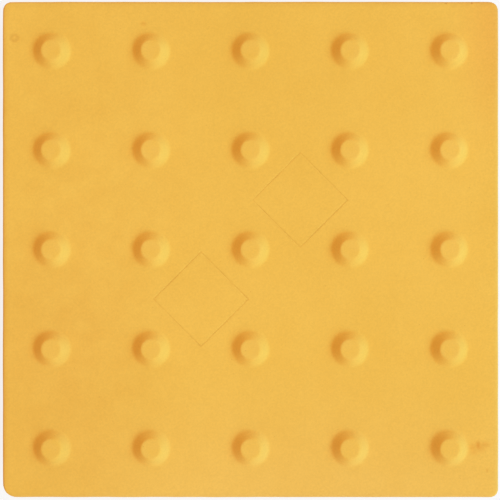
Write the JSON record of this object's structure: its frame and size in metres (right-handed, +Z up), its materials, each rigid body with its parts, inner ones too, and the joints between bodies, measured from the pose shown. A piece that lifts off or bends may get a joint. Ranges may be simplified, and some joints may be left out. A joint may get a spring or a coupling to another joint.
{
  "type": "tactile paving slab",
  "caption": "Square yellow concrete paving slab with rounded corners and a square grid of raised flat-topped studs, laid in paving as a warning underfoot for people with impaired sight.",
  "frame": {"origin": "middle of the flat bed face that the slab rests on", "axes": "+Z up, out of the studded walking face; +X and +Y along the slab's sides and along the rows of studs"},
  "size_m": [0.3, 0.3, 0.065],
  "materials": {
    "yellow_concrete": "matte"
  },
  "bodies": {
    "root": {"slab": "yellow_concrete"}
  },
  "joints": []
}
